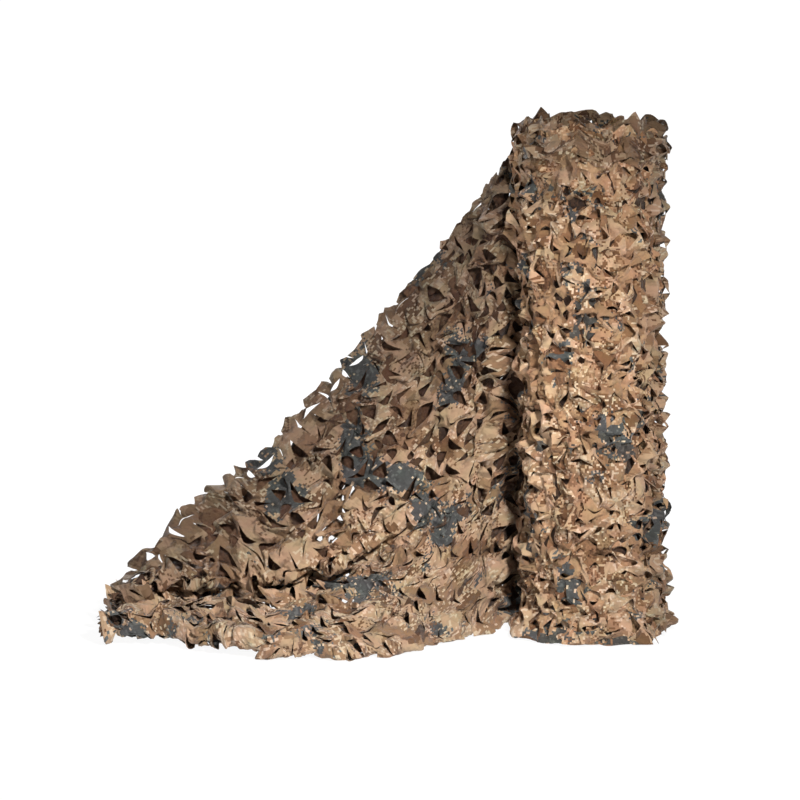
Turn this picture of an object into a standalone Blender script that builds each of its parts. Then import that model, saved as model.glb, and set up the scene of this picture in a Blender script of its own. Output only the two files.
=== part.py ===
"""Camouflage netting: a standing roll of leaf-cut net with its loose end drawn out over the floor.

Two pieces, both of the same printed cloth:

    net_roll    the wound part, a spiral log that stands on its end
    loose_end   the free length, falling from the top of the roll to a folded heap on the floor

Frame: metres, +Z up.  The origin is the centre of the roll's foot, on the floor.  The loose end
is drawn off towards -X, and its train spreads towards -Y, which is the front.
"""

import math

import bmesh
import bpy
import numpy as np

# ---------------------------------------------------------------- sizes, in metres

NET_WIDTH = 1.500          # selvedge to selvedge: the height of the roll
LOOSE_LENGTH = 1.950       # cloth drawn off the roll, measured along it
NET_THICKNESS = 0.003      # cloth with its curled leaves pressed flat

ROLL_RADIUS = 0.207        # at the start of the outermost turn
TURN_STEP = 0.008          # how far one turn sits inside the next
TOP_TURNS = 5              # ridges seen on the roll's top end
TOP_RIDGE = 0.007          # height of those ridges above and below the mean
RIM_ROUNDING = 0.014
ROLL_GAP = 0.0005          # between the roll's last edge and the loose end

ROLL_SIDES = 52            # flats round the roll
TOP_RINGS = 17             # rings from the rim to the middle

HOLES_ALONG = 18           # leaf-shaped holes along the loose end
HOLES_ACROSS = 14          # and from selvedge to selvedge
HOLE_LONG = 0.054          # a hole measures this one way
HOLE_SHORT = 0.035         # and this the other, turn and turn about
TIP_REACH = 0.008          # saw teeth of the cut edges

LAYER_GAP = 0.028          # height from one lying layer to the next
LIE = NET_THICKNESS / 2    # middle of the lowest layer above the floor

# How the roll's wall swells from its foot up: height and extra radius.
FOOT_SWELL = np.array((
    (0.00, 0.010),
    (0.04, 0.014),
    (0.10, 0.015),
    (0.18, 0.009),
    (0.30, 0.003),
    (0.70, 0.001),
    (1.10, 0.002),
    (1.50, 0.000),
))

WALL_HEIGHTS = (0.0, 0.012, 0.04, 0.07, 0.10, 0.14, 0.18, 0.24, 0.30, 0.38, 0.46, 0.54, 0.62,
                0.70, 0.78, 0.86, 0.94, 1.02, 1.10, 1.18, 1.26, 1.34, 1.41, 1.46)

# Sections of the loose end, one row for each place along the cloth.
#   run                    length of cloth from the roll
#   top_x, top_y, top_z    upper selvedge
#   lip_x, lip_y, lip_z    where the hanging part meets the heap
#   tuck                   depth of the fold turned back under the lip
#   foot_x, foot_y         foremost fold on the floor
#   fold                   height of that foremost fold
#   lift                   1 where another layer lies beneath it, 0 where none does
#   under                  length turned under behind the foremost fold
COLUMNS = ("run", "top_x", "top_y", "top_z", "lip_x", "lip_y", "lip_z", "tuck",
           "foot_x", "foot_y", "fold", "lift", "under")
SECTIONS = np.array((
    (0.00, -ROLL_GAP, 0.2045, 1.500, -ROLL_GAP, 0.2045, 0.620, 0.000, -ROLL_GAP, 0.2045, 0.000, 0.00, 0.00),
    (0.13, -0.130, 0.208, 1.476, -0.130, 0.205, 0.600, 0.000, -0.130, 0.205, 0.006, 0.00, 0.04),
    (0.27, -0.232, 0.200, 1.400, -0.245, 0.170, 0.520, 0.000, -0.262, 0.120, 0.022, 0.00, 0.12),
    (0.51, -0.360, 0.190, 1.202, -0.375, 0.110, 0.430, 0.005, -0.400, -0.150, 0.026, 0.00, 0.28),
    (0.80, -0.560, 0.185, 0.950, -0.560, 0.075, 0.300, 0.030, -0.590, -0.350, 0.030, 0.00, 0.36),
    (1.10, -0.765, 0.180, 0.720, -0.765, 0.045, 0.185, 0.080, -0.790, -0.385, 0.036, 0.25, 0.40),
    (1.34, -0.940, 0.175, 0.530, -0.940, 0.035, 0.155, 0.130, -0.965, -0.365, 0.044, 0.75, 0.40),
    (1.52, -1.080, 0.170, 0.415, -1.075, 0.035, 0.150, 0.190, -1.090, -0.250, 0.048, 1.00, 0.36),
    (1.69, -1.210, 0.165, 0.290, -1.205, 0.020, 0.142, 0.250, -1.215, -0.215, 0.046, 1.00, 0.36),
    (1.95, -1.410, 0.120, 0.125, -1.420, -0.020, 0.118, 0.300, -1.440, -0.165, 0.038, 1.00, 0.42),
))

# How softly each corner of a section is turned, from the upper selvedge to the last edge.
CORNER_SOFTNESS = (0, 0.25, 0.06, 0.06, 0.03, 0.05, 0.16, 0.022, 0.022, 0.02, 0.02, 0)
CORNER_STEPS = 7

# Upright pleats beside the roll: place along X, depth, breadth, lowest and highest height.
PLEATS = (
    (-0.215, 0.020, 0.026, 0.05, 0.95),
    (-0.270, -0.018, 0.026, 0.03, 1.05),
    (-0.325, 0.020, 0.024, 0.06, 1.00),
    (-0.395, -0.010, 0.034, 0.04, 0.85),
    (-0.470, 0.010, 0.034, 0.10, 0.75),
)

# The long crease that climbs from the heap towards the roll, seen from the front.
CREASE_START = (-0.83, 0.155)
CREASE_END = (-0.44, 0.440)
CREASE_DEPTH = 0.018

CLOTH_COLOUR = (0.33, 0.22, 0.145, 1.0)
ROLL_COLOUR = (0.37, 0.25, 0.165, 1.0)


# ---------------------------------------------------------------- small helpers

def clamp01(value):
    return np.clip(value, 0.0, 1.0)


def bell(distance):
    """A soft hump: one at nought, falling away by a bell curve."""
    return np.exp(-distance * distance)


def through_rows(place, places, values):
    """A curve through the table's rows that keeps the slope of each row's neighbours."""
    row = np.clip(np.searchsorted(places, place, side="right") - 1, 0, len(places) - 2)
    slope = np.gradient(values, places)
    span = places[row + 1] - places[row]
    t = (place - places[row]) / span
    return ((2 * t**3 - 3 * t**2 + 1) * values[row]
            + (t**3 - 2 * t**2 + t) * span * slope[row]
            + (3 * t**2 - 2 * t**3) * values[row + 1]
            + (t**3 - t**2) * span * slope[row + 1])


def soft_corners(path):
    """Turn each corner of the paths (rows, corners, 3) with a short curve."""
    points = [path[:, 0]]
    for corner in range(1, path.shape[1] - 1):
        before, here, after = path[:, corner - 1], path[:, corner], path[:, corner + 1]
        back = np.linalg.norm(before - here, axis=1, keepdims=True)
        on = np.linalg.norm(after - here, axis=1, keepdims=True)
        softness = CORNER_SOFTNESS[corner]
        start = here + (before - here) * np.minimum(softness / np.maximum(back, 1e-9), 0.49)
        end = here + (after - here) * np.minimum(softness / np.maximum(on, 1e-9), 0.49)
        for t in np.linspace(0.0, 1.0, CORNER_STEPS):
            points.append((1 - t) ** 2 * start + 2 * t * (1 - t) * here + t * t * end)
    points.append(path[:, -1])
    return np.stack(points, axis=1)


# ---------------------------------------------------------------- the loose end's hang

def section_corners(run):
    """Corner points of the section at each run: down the hang, back under the lip, out over the
    heap to the foremost fold, then back and forth beneath it."""
    row = {name: through_rows(run, SECTIONS[:, 0], SECTIONS[:, column])
           for column, name in enumerate(COLUMNS)}
    lift = clamp01(row["lift"])
    tuck = np.maximum(row["tuck"], 0.0)
    fold = np.maximum(row["fold"], 0.0)
    under = np.maximum(row["under"], 0.0)
    tucked = clamp01(tuck / 0.03)

    lip_half = LAYER_GAP / 2 * tucked + 0.001
    low = LIE + LAYER_GAP * lift
    fold_top = low + fold
    back_y = row["lip_y"] + tuck
    back_z = np.maximum(row["lip_z"] - lip_half - 0.15 * tuck, fold_top + LAYER_GAP)
    back_z = np.minimum(back_z, row["lip_z"] - lip_half)
    return_z = np.maximum(back_z - LAYER_GAP * tucked - 0.001, fold_top + 0.001)
    crown_x = 0.42 * row["lip_x"] + 0.58 * row["foot_x"]
    crown_y = 0.42 * back_y + 0.58 * row["foot_y"]
    crown_z = fold_top + 0.25 * (return_z - fold_top) + 0.014 * tucked
    bow = 0.015 * clamp01((row["top_z"] - row["lip_z"]) / 0.4) * clamp01(run / 0.3)
    inner_y = row["foot_y"] + under

    corners = (
        (row["top_x"], row["top_y"], row["top_z"]),
        ((row["top_x"] + row["lip_x"]) / 2, (row["top_y"] + row["lip_y"]) / 2 + bow,
         (row["top_z"] + row["lip_z"]) / 2),
        (row["lip_x"], row["lip_y"], row["lip_z"] + lip_half),
        (row["lip_x"], row["lip_y"], row["lip_z"] - lip_half),
        (row["lip_x"], back_y, back_z),
        (row["lip_x"], back_y, return_z),
        (crown_x, crown_y, crown_z),
        (row["foot_x"], row["foot_y"], fold_top),
        (row["foot_x"], row["foot_y"], low),
        (row["foot_x"], inner_y, low),
        (row["foot_x"], inner_y, LIE + 0 * low),
        (row["foot_x"], row["foot_y"] + 0.02, LIE + 0 * low),
    )
    return np.stack([np.stack(np.broadcast_arrays(*corner), axis=-1) for corner in corners], axis=1)


def pleated(points):
    """Push the cloth back and forth along Y by its place across the front.  Every layer at one
    place moves alike, so none of them meet."""
    x, y, z = points[..., 0], points[..., 1], points[..., 2]
    away = clamp01((-x - 0.12) / 0.10)
    for place, depth, breadth, lowest, highest in PLEATS:
        upright = clamp01((z - lowest) / 0.12) * clamp01((highest - z) / 0.35)
        y = y + depth * away * upright * bell((x - place) / breadth)

    along_x = CREASE_END[0] - CREASE_START[0]
    along_z = CREASE_END[1] - CREASE_START[1]
    length = math.hypot(along_x, along_z)
    along_x, along_z = along_x / length, along_z / length
    along = ((x - CREASE_START[0]) * along_x + (z - CREASE_START[1]) * along_z) / length
    above = (z - CREASE_START[1]) * along_x - (x - CREASE_START[0]) * along_z
    reach = bell((along - 0.5) / 0.55) * clamp01(z / 0.1)
    y = y + CREASE_DEPTH * reach * (bell((above + 0.004) / 0.024) - 0.9 * bell((above - 0.05) / 0.045))

    lying = clamp01(1.0 - z / 0.35) * clamp01((-x - 0.30) / 0.10)
    y = y - 0.010 * lying * np.sin(2 * math.pi * (x + 0.03) / 0.19)
    hanging = clamp01((z - 0.16) / 0.2) * clamp01((-x - 0.30) / 0.15)
    y = y - 0.016 * hanging * np.sin(2 * math.pi * (0.8 * x + 0.35 * z) / 0.36)
    return np.stack([x, y, z], axis=-1)


def hang(run, across):
    """Where each spot of the flat cloth lies.  run is the distance from the roll and across the
    distance from the upper selvedge; both are arrays of one shape.  Each spot sits on its own
    section, at its own distance along that section."""
    shape = run.shape
    flat_run = np.clip(run.ravel(), 0.0, LOOSE_LENGTH)
    paths = soft_corners(section_corners(flat_run))
    steps = np.linalg.norm(np.diff(paths, axis=1), axis=2)
    reached = np.concatenate([np.zeros((len(steps), 1)), np.cumsum(steps, axis=1)], axis=1)
    wanted = np.clip(across.ravel(), 0.0, reached[:, -1])
    after = np.clip((reached <= wanted[:, None]).sum(axis=1), 1, reached.shape[1] - 1)
    pick = np.arange(len(wanted))
    start, end = reached[pick, after - 1], reached[pick, after]
    share = ((wanted - start) / np.maximum(end - start, 1e-9))[:, None]
    points = paths[pick, after - 1] * (1 - share) + paths[pick, after] * share
    return pleated(points).reshape(shape + (3,))


# ---------------------------------------------------------------- building bodies

def remove_everything():
    for thing in list(bpy.data.objects):
        bpy.data.objects.remove(thing, do_unlink=True)


def cloth_material(name, colour):
    material = bpy.data.materials.new(name)
    material.use_nodes = True
    shader = material.node_tree.nodes["Principled BSDF"]
    shader.inputs["Base Color"].default_value = colour
    shader.inputs["Roughness"].default_value = 0.86
    shader.inputs["Metallic"].default_value = 0.0
    material.diffuse_color = colour
    return material


def new_piece(name, points, faces, material, collection):
    mesh = bpy.data.meshes.new(name)
    mesh.from_pydata([tuple(point) for point in points], [], faces)
    mesh.validate()
    body = bmesh.new()
    body.from_mesh(mesh)
    loose = [vertex for vertex in body.verts if not vertex.link_faces]
    bmesh.ops.delete(body, geom=loose, context="VERTS")
    bmesh.ops.recalc_face_normals(body, faces=body.faces)
    body.to_mesh(mesh)
    body.free()
    for face in mesh.polygons:
        face.use_smooth = True
    mesh.materials.append(material)
    piece = bpy.data.objects.new(name, mesh)
    collection.objects.link(piece)
    return piece


# ---------------------------------------------------------------- net_roll

def wall_radius(turned, height):
    """Radius of the wound net, turned being the angle from its last edge, clockwise from above.
    The wall creeps in by one step a turn, swells at the foot, and is lumpy where leaves bunch."""
    settled = clamp01(turned / 0.5) * clamp01((2 * math.pi - turned) / 1.3)
    front = clamp01(turned / 0.5) * clamp01((5.6 - turned) / 1.0)
    swell = np.interp(height, FOOT_SWELL[:, 0], FOOT_SWELL[:, 1]) * (0.85 + 0.25 * np.sin(turned))
    lumps = (0.0022 * np.sin(3 * turned + 5.0 * height)
             + 0.0016 * np.sin(7 * turned - 9.0 * height + 1.0)
             + 0.0016 * np.sin(23.0 * height + 2 * turned))
    return ROLL_RADIUS - TURN_STEP * turned / (2 * math.pi) + swell * front + lumps * settled


def top_height(turned, radius):
    """Height of the roll's top end: a spiral ridge for the wound edges, over a slow unevenness."""
    pitch = ROLL_RADIUS / (TOP_TURNS + 0.5)
    phase = (ROLL_RADIUS - radius) / pitch - turned / (2 * math.pi)
    ridge = TOP_RIDGE * np.cos(2 * math.pi * phase) * clamp01(radius / 0.04)
    slow = 0.006 * np.cos(turned - 4.4) * radius / ROLL_RADIUS
    return NET_WIDTH - 0.002 + ridge + slow - 0.012 * bell(radius / 0.05)


def build_roll(material, collection):
    turned = np.linspace(0.0, 2 * math.pi, ROLL_SIDES + 1)
    count = len(turned)
    east, north = np.sin(turned), np.cos(turned)

    rings = []
    for height in WALL_HEIGHTS:
        radius = wall_radius(turned, height)
        rings.append(np.stack([radius * east, radius * north, np.full(count, height)], axis=1))
    rim = wall_radius(turned, NET_WIDTH)
    for ring in range(TOP_RINGS):
        share = 1.0 - ring / TOP_RINGS
        radius = (rim - RIM_ROUNDING * (0.35 if ring == 0 else 1.0)) * share
        height = top_height(turned, radius)
        if ring == 0:
            height = height - 0.010
        rings.append(np.stack([radius * east, radius * north, height], axis=1))

    points = np.concatenate(rings + [np.array([[0.0, 0.0, top_height(0.0, 0.0)],
                                               [0.0, 0.0, 0.0]])])
    faces = []
    for ring in range(len(rings) - 1):
        below, above = ring * count, (ring + 1) * count
        for side in range(count):
            onward = (side + 1) % count
            faces.append((below + side, below + onward, above + onward, above + side))
    last, middle, foot = (len(rings) - 1) * count, len(points) - 2, len(points) - 1
    for side in range(count):
        onward = (side + 1) % count
        faces.append((last + side, last + onward, middle))
        faces.append((onward, side, foot))
    return new_piece("net_roll", points, faces, material, collection)


# ---------------------------------------------------------------- loose_end

def net_lines(total, holes, hole_size):
    """Lines across the cloth: half a strap, a hole and half a strap, again and again."""
    pitch = total / holes
    half_strap = (pitch - hole_size) / 2
    lines = []
    for hole in range(holes):
        start = hole * pitch
        lines.extend((start, start + half_strap, start + half_strap + hole_size))
    lines.append(total)
    return np.array(lines)


def build_loose_end(material, collection):
    """The cloth's middle surface as a grid of straps with every hole cell left out, lofted onto
    the hang, then thickened."""
    middle_size = (HOLE_LONG + HOLE_SHORT) / 2
    runs = net_lines(LOOSE_LENGTH, HOLES_ALONG, middle_size)
    acrosses = net_lines(NET_WIDTH, HOLES_ACROSS, middle_size)
    run, across = np.meshgrid(runs, acrosses, indexing="ij")
    run, across = run.copy(), across.copy()

    chooser = np.random.default_rng(11)
    hole_cells = set()
    for i in range(HOLES_ALONG):
        for j in range(HOLES_ACROSS):
            column, row = 3 * i + 1, 3 * j + 1
            hole_cells.add((column, row))
            long_run = (i + j) % 2 == 0
            half_run = (HOLE_LONG if long_run else HOLE_SHORT) / 2
            half_across = (HOLE_SHORT if long_run else HOLE_LONG) / 2
            turn = chooser.uniform(-0.45, 0.45)
            pinch = chooser.uniform(0.55, 1.0, size=2)
            middle_run = (runs[column] + runs[column + 1]) / 2
            middle_across = (acrosses[row] + acrosses[row + 1]) / 2
            for di, dj in ((0, 0), (1, 0), (1, 1), (0, 1)):
                narrow = pinch[di] if long_run else pinch[dj]
                offset_run = (2 * di - 1) * half_run * (1.0 if long_run else narrow)
                offset_across = (2 * dj - 1) * half_across * (narrow if long_run else 1.0)
                run[column + di, row + dj] = (middle_run + offset_run * math.cos(turn)
                                              - offset_across * math.sin(turn))
                across[column + di, row + dj] = (middle_across + offset_run * math.sin(turn)
                                                 + offset_across * math.cos(turn))

    points = hang(run, across)
    # Saw teeth: every other point of the upper selvedge stands up, and of the last edge stands out.
    teeth = slice(1, -1, 2)
    points[teeth, 0, 2] += TIP_REACH * clamp01((runs[teeth] - 0.05) / 0.1)
    points[-1, 1::2, 0] -= TIP_REACH

    rows = len(acrosses)
    faces = []
    for i in range(len(runs) - 1):
        for j in range(rows - 1):
            if (i, j) not in hole_cells:
                start = i * rows + j
                faces.append((start, start + rows, start + rows + 1, start + 1))
    piece = new_piece("loose_end", points.reshape(-1, 3), faces, material, collection)
    thicken = piece.modifiers.new("net thickness", "SOLIDIFY")
    thicken.thickness = NET_THICKNESS
    thicken.offset = 0.0
    thicken.use_rim = True
    return piece


def build():
    remove_everything()
    collection = bpy.data.collections.new("camouflage_netting")
    bpy.context.scene.collection.children.link(collection)
    build_roll(cloth_material("rolled_net", ROLL_COLOUR), collection)
    build_loose_end(cloth_material("loose_net", CLOTH_COLOUR), collection)


build()
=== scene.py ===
"""Looks of the camouflage netting: a standing roll of leaf-cut net and its loose end.

Every piece of net is one lattice of leaves laid over a surface.  The cloth is slit on a square
lattice, the slits lying along and across by turns; each slit's two lips part, bow and curl, and
the narrow necks between slits stay joined.
"""

import math

import bpy
import numpy as np
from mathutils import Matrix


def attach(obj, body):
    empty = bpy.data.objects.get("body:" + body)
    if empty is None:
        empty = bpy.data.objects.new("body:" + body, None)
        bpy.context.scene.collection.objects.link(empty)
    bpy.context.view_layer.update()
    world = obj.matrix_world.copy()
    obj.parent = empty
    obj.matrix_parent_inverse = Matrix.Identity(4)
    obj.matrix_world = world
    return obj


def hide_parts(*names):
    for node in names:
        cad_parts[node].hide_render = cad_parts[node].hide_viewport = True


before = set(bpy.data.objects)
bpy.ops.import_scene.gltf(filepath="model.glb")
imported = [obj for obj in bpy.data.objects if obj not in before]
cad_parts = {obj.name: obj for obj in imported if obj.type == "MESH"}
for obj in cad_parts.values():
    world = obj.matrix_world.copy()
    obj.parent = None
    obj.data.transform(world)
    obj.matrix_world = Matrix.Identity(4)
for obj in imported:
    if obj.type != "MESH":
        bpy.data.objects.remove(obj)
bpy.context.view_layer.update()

# ---------------------------------------------------------------- sizes, in metres

NET_WIDTH = 1.500
LOOSE_LENGTH = 1.950
NET_THICKNESS = 0.003

ROLL_RADIUS = 0.207
GIRTH = 2 * math.pi * ROLL_RADIUS
TURN_STEP = 0.008          # how far the last turn's edge stands out over the turn beneath it
TURN_PITCH = 0.017         # from one wound turn to the next, seen on the roll's ends
COIL_RADIUS = ROLL_RADIUS - 0.012    # outermost of those turns
ROLL_GAP = 0.0005

LAYER_GAP = 0.028          # between layers of the heap
LIE = NET_THICKNESS / 2

# How far the roll swells, by height.
FOOT_SWELL = np.array(((0.00, 0.010), (0.04, 0.014), (0.10, 0.015), (0.18, 0.009),
                       (0.30, 0.003), (0.70, 0.001), (1.10, 0.002), (1.50, 0.000)))

# Sections of the loose end, one row for each place along the cloth.
#   run                    length of cloth from the roll
#   top_x, top_y, top_z    upper selvedge
#   lip_x, lip_y, lip_z    where the hanging part meets the heap
#   tuck                   depth of the fold turned back under the lip
#   foot_x, foot_y         foremost fold on the floor
#   fold                   height of that foremost fold
#   lift                   1 where another layer lies beneath it, 0 where none does
#   under                  length turned under behind the foremost fold
SECTIONS = np.array((
    (0.00, -ROLL_GAP, 0.2045, 1.500, -ROLL_GAP, 0.2045, 0.620, 0.000,
     -ROLL_GAP, 0.2045, 0.000, 0.00, 0.00),
    (0.15, -0.160, 0.160, 1.466, -0.160, 0.176, 0.600, 0.000, -0.236, 0.098, 0.010, 0.00, 0.05),
    (0.27, -0.242, 0.098, 1.405, -0.248, 0.132, 0.520, 0.000, -0.274, 0.005, 0.024, 0.00, 0.12),
    (0.51, -0.360, 0.178, 1.202, -0.375, 0.110, 0.430, 0.005, -0.400, -0.150, 0.026, 0.00, 0.28),
    (0.80, -0.560, 0.185, 0.957, -0.560, 0.075, 0.300, 0.030, -0.590, -0.350, 0.030, 0.00, 0.36),
    (1.10, -0.768, 0.180, 0.722, -0.765, 0.045, 0.185, 0.080, -0.790, -0.385, 0.036, 0.25, 0.40),
    (1.34, -0.944, 0.175, 0.520, -0.940, 0.035, 0.155, 0.130, -0.965, -0.372, 0.044, 0.75, 0.40),
    (1.52, -1.084, 0.170, 0.420, -1.075, 0.035, 0.150, 0.190, -1.090, -0.300, 0.048, 1.00, 0.36),
    (1.69, -1.218, 0.165, 0.300, -1.205, 0.020, 0.142, 0.250, -1.215, -0.222, 0.046, 1.00, 0.36),
    (1.95, -1.405, 0.120, 0.090, -1.415, -0.020, 0.085, 0.300, -1.440, -0.192, 0.038, 1.00, 0.42),
))
RUN, TOP_Z, LIP_Z, TUCK = (SECTIONS[:, column] for column in (0, 3, 6, 7))

CORNER_SOFTNESS = (0, 0.25, 0.06, 0.06, 0.03, 0.05, 0.16, 0.022, 0.022, 0.02, 0.02, 0)
CORNER_STEPS = 7

# Upright pleats beside the roll: place along X, depth, breadth, lowest and highest height.
PLEATS = (
    (-0.215, 0.020, 0.026, 0.05, 0.95),
    (-0.270, -0.018, 0.026, 0.03, 1.05),
    (-0.325, 0.020, 0.024, 0.06, 1.00),
    (-0.395, -0.010, 0.034, 0.04, 0.85),
    (-0.470, 0.010, 0.034, 0.10, 0.75),
)
CREASE_START = (-0.83, 0.155)
CREASE_END = (-0.44, 0.440)
CREASE_DEPTH = 0.018


# ---------------------------------------------------------------- small helpers

def clamp01(value):
    """Held between nought and one."""
    return np.clip(value, 0.0, 1.0)


def bell(distance):
    """One in the middle, falling away to nought."""
    return np.exp(-distance * distance)


def ease(value):
    """Smooth step: flat at nought and at one."""
    value = clamp01(value)
    return value * value * (3 - 2 * value)


def through_rows(place, places, values):
    """A curve through the table's rows that keeps the slope of each row's neighbours."""
    row = np.clip(np.searchsorted(places, place, side="right") - 1, 0, len(places) - 2)
    slope = np.gradient(values, places)
    span = places[row + 1] - places[row]
    t = (place - places[row]) / span
    return ((2 * t**3 - 3 * t**2 + 1) * values[row]
            + (t**3 - 2 * t**2 + t) * span * slope[row]
            + (3 * t**2 - 2 * t**3) * values[row + 1]
            + (t**3 - t**2) * span * slope[row + 1])


def blended(s, t, a, b, c, d):
    """Between four corners: a to b as s goes from nought to one, and c to d, as t does."""
    return (1 - s) * (1 - t) * a + s * (1 - t) * b + (1 - s) * t * c + s * t * d


def facing(place, run, across, nudge):
    """Unit normals of the surface that place(run, across) gives."""
    by_run = place(run + nudge, across) - place(run - nudge, across)
    by_across = place(run, across + nudge) - place(run, across - nudge)
    normal = np.cross(by_run, by_across)
    return normal / np.maximum(np.linalg.norm(normal, axis=-1, keepdims=True), 1e-12)


def hung_length(run):
    """Length of cloth that hangs free at each run, from the upper selvedge to the lip."""
    return through_rows(np.clip(run, 0.0, LOOSE_LENGTH), RUN, TOP_Z - LIP_Z)


def soft_corners(path):
    """Turn each corner of the paths (rows, corners, 3) with a short curve."""
    points = [path[:, 0]]
    for corner in range(1, path.shape[1] - 1):
        before, here, after = path[:, corner - 1], path[:, corner], path[:, corner + 1]
        back = np.linalg.norm(before - here, axis=1, keepdims=True)
        on = np.linalg.norm(after - here, axis=1, keepdims=True)
        softness = CORNER_SOFTNESS[corner]
        start = here + (before - here) * np.minimum(softness / np.maximum(back, 1e-9), 0.49)
        end = here + (after - here) * np.minimum(softness / np.maximum(on, 1e-9), 0.49)
        for t in np.linspace(0.0, 1.0, CORNER_STEPS):
            points.append((1 - t) ** 2 * start + 2 * t * (1 - t) * here + t * t * end)
    points.append(path[:, -1])
    return np.stack(points, axis=1)


# ---------------------------------------------------------------- the surfaces the net follows

def section_corners(run):
    """Corner points of the section at each run: down the hang, back under the lip, out over the
    heap to the foremost fold, then back and forth beneath it."""
    (_, top_x, top_y, top_z, lip_x, lip_y, lip_z, tuck, foot_x, foot_y, fold, lift, under) = (
        through_rows(run, RUN, column) for column in SECTIONS.T)
    tuck, fold, under = (np.maximum(value, 0.0) for value in (tuck, fold, under))
    tucked = clamp01(tuck / 0.03)

    lip_half = LAYER_GAP / 2 * tucked + 0.001
    low = LIE + LAYER_GAP * clamp01(lift)
    fold_top = low + fold
    back_y = lip_y + tuck
    back_z = np.maximum(lip_z - lip_half - 0.15 * tuck, fold_top + LAYER_GAP)
    back_z = np.minimum(back_z, lip_z - lip_half)
    return_z = np.maximum(back_z - LAYER_GAP * tucked - 0.001, fold_top + 0.001)
    crown_z = fold_top + 0.25 * (return_z - fold_top) + 0.014 * tucked
    bow = 0.015 * clamp01((top_z - lip_z) / 0.4) * clamp01(run / 0.3)

    corners = (
        (top_x, top_y, top_z),
        ((top_x + lip_x) / 2, (top_y + lip_y) / 2 + bow, (top_z + lip_z) / 2),
        (lip_x, lip_y, lip_z + lip_half),
        (lip_x, lip_y, lip_z - lip_half),
        (lip_x, back_y, back_z),
        (lip_x, back_y, return_z),
        (0.42 * lip_x + 0.58 * foot_x, 0.42 * back_y + 0.58 * foot_y, crown_z),
        (foot_x, foot_y, fold_top),
        (foot_x, foot_y, low),
        (foot_x, foot_y + under, low),
        (foot_x, foot_y + under, LIE + 0 * low),
        (foot_x, foot_y + 0.02, LIE + 0 * low),
    )
    return np.stack([np.stack(corner, axis=-1) for corner in corners], axis=1)


def pleated(points):
    """Push the cloth back and forth along Y by its place across the front: pleats beside the
    roll, the climbing crease, the wavy train and the slow swags of the hang."""
    x, y, z = points[..., 0], points[..., 1], points[..., 2]
    away = clamp01((-x - 0.12) / 0.10)
    for place, depth, breadth, lowest, highest in PLEATS:
        upright = clamp01((z - lowest) / 0.12) * clamp01((highest - z) / 0.35)
        y = y + depth * away * upright * bell((x - place) / breadth)

    along_x = CREASE_END[0] - CREASE_START[0]
    along_z = CREASE_END[1] - CREASE_START[1]
    length = math.hypot(along_x, along_z)
    along_x, along_z = along_x / length, along_z / length
    along = ((x - CREASE_START[0]) * along_x + (z - CREASE_START[1]) * along_z) / length
    above = (z - CREASE_START[1]) * along_x - (x - CREASE_START[0]) * along_z
    reach = bell((along - 0.5) / 0.55) * clamp01(z / 0.1)
    ridge, hollow = bell((above + 0.004) / 0.024), bell((above - 0.05) / 0.045)
    y = y + CREASE_DEPTH * reach * (ridge - 0.9 * hollow)

    lying = clamp01(1.0 - z / 0.35) * clamp01((-x - 0.30) / 0.10)
    y = y - 0.010 * lying * np.sin(2 * math.pi * (x + 0.03) / 0.19)
    pucker = np.sin(2 * math.pi * x / 0.087 + 1.4 * np.sin(2 * math.pi * x / 0.23))
    y = y - 0.008 * lying * pucker * (0.6 + 0.4 * np.sin(2 * math.pi * x / 0.41 + 0.6))
    raised = lying * clamp01((z - 0.03) / 0.03) * clamp01(-y / 0.1)
    z = z + 0.006 * raised * np.sin(2 * math.pi * (x - 0.55 * y) / 0.118 + 0.7)
    hanging = clamp01((z - 0.16) / 0.2) * clamp01((-x - 0.30) / 0.15)
    y = y - 0.016 * hanging * np.sin(2 * math.pi * (0.8 * x + 0.35 * z) / 0.36)
    return np.stack([x, y, z], axis=-1)


def hang(run, across):
    """Where each spot of the loose end lies: run from the roll, across from the upper selvedge.
    Each spot sits on its own section, at its own distance along that section."""
    shape = run.shape
    flat_run = np.clip(run.ravel(), 0.0, LOOSE_LENGTH)
    flat_across = across.ravel()
    points = np.empty((len(flat_run), 3))
    for first in range(0, len(flat_run), 20000):
        part = slice(first, first + 20000)
        paths = soft_corners(section_corners(flat_run[part]))
        steps = np.linalg.norm(np.diff(paths, axis=1), axis=2)
        reached = np.concatenate([np.zeros((len(steps), 1)), np.cumsum(steps, axis=1)], axis=1)
        wanted = np.minimum(flat_across[part], reached[:, -1])
        after = np.clip((reached <= wanted[:, None]).sum(axis=1), 1, reached.shape[1] - 1)
        pick = np.arange(len(wanted))
        start, end = reached[pick, after - 1], reached[pick, after]
        share = ((wanted - start) / np.maximum(end - start, 1e-9))[:, None]
        points[part] = paths[pick, after - 1] * (1 - share) + paths[pick, after] * share
    # Spots past the last section go on straight out.
    points[:, 0] -= 0.8 * np.maximum(run.ravel() - LOOSE_LENGTH, 0.0)
    return pleated(points).reshape(shape + (3,))


HANGING_LEAN = 0.72        # how fast a column of leaves slips towards the roll as it goes down
LYING_LEAN = 0.50
HANGING_ROW = 1.36         # length down a section for each length across the lattice
LYING_ROW = 1.12


def trace_columns(starts, downs):
    """Run and depth of each leaf column at each row, stepping down from the upper selvedge.  The
    rows follow the slanting selvedge and the columns stand square to them, and on the heap they
    straighten a little."""
    runs, depths = np.empty((2, len(starts), len(downs)))
    runs[:, 0], depths[:, 0] = starts, 0.0
    for k in range(1, len(downs)):
        lying = ease((depths[:, k - 1] - hung_length(runs[:, k - 1])) / 0.12)
        step = (downs[k] - downs[k - 1]) * (HANGING_ROW + (LYING_ROW - HANGING_ROW) * lying)
        lean = HANGING_LEAN + (LYING_LEAN - HANGING_LEAN) * lying
        runs[:, k] = runs[:, k - 1] - step * lean
        depths[:, k] = depths[:, k - 1] + step
    return runs, depths


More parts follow.
